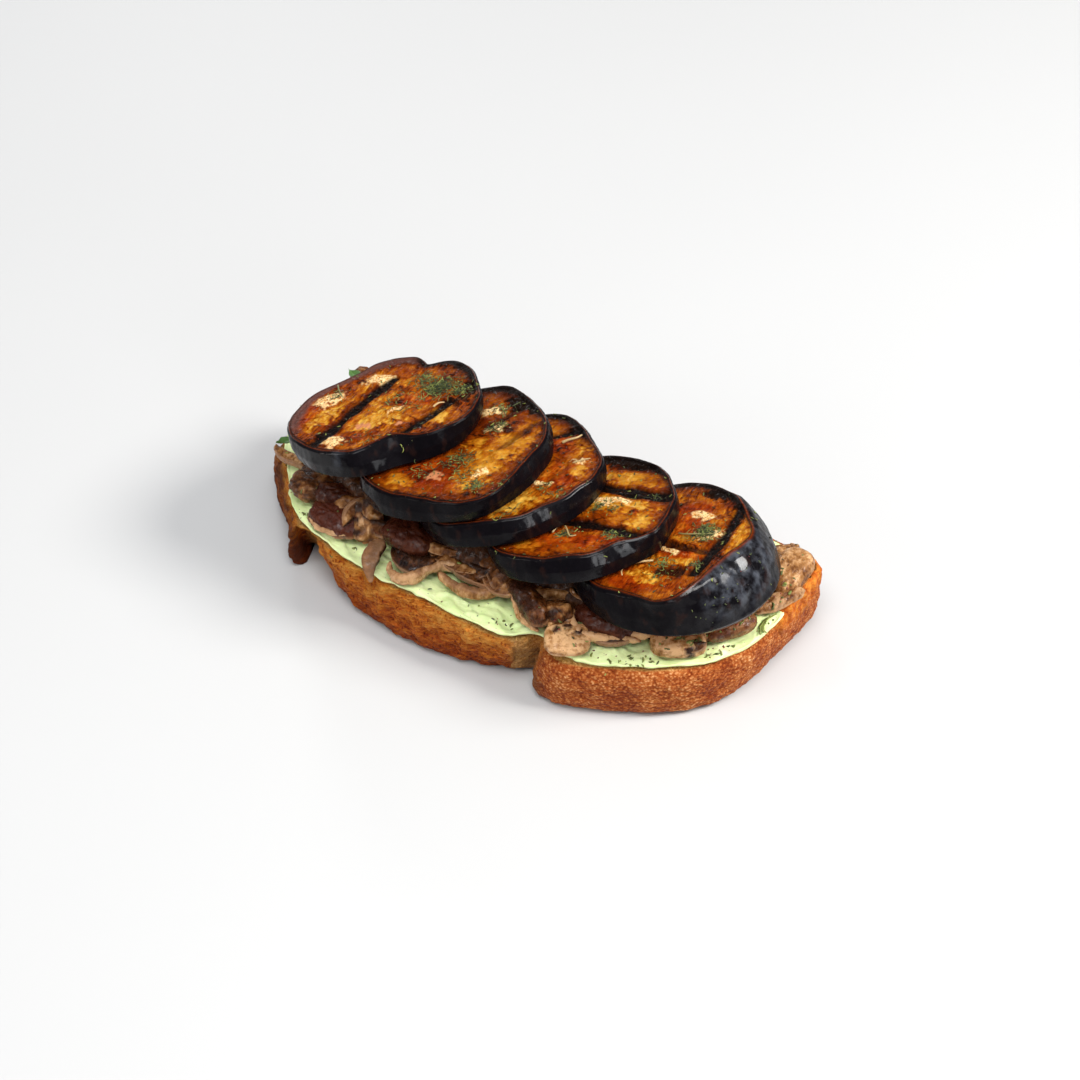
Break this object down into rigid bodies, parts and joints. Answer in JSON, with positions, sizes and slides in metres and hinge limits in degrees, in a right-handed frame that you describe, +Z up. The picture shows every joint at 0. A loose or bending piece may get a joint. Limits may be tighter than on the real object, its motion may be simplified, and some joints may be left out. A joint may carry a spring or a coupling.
{
  "type": "eggplant toast",
  "caption": "Open toast on a thick slice of country bread with herb spread, fried mushrooms and a leaning row of overlapping grilled eggplant slices sprinkled with dried herbs.",
  "frame": {"origin": "middle of the bread's box in length and width, on its flat underside", "axes": "+X along the toast, from the raised end of the row of slices to its low end, where the thick wedge lies; +Y to the back, across the toast, away from the side that is seen; +Z up, out of the plate"},
  "size_m": [0.203, 0.102, 0.0697],
  "materials": {
    "toasted_crust": "rough, toasted, fibrous",
    "herb_spread": "creamy, soft sheen",
    "fried_mushroom": "moist, fried",
    "grilled_eggplant": "oily, grilled",
    "green_leaf": "satin"
  },
  "bodies": {
    "root": {"bread": "toasted_crust", "spread": "herb_spread", "mushroom_heap": "fried_mushroom", "leaf_left": "green_leaf", "leaf_back": "green_leaf", "eggplant_1": "grilled_eggplant", "eggplant_2": "grilled_eggplant", "eggplant_3": "grilled_eggplant", "eggplant_4": "grilled_eggplant", "eggplant_5": "grilled_eggplant"}
  },
  "joints": []
}
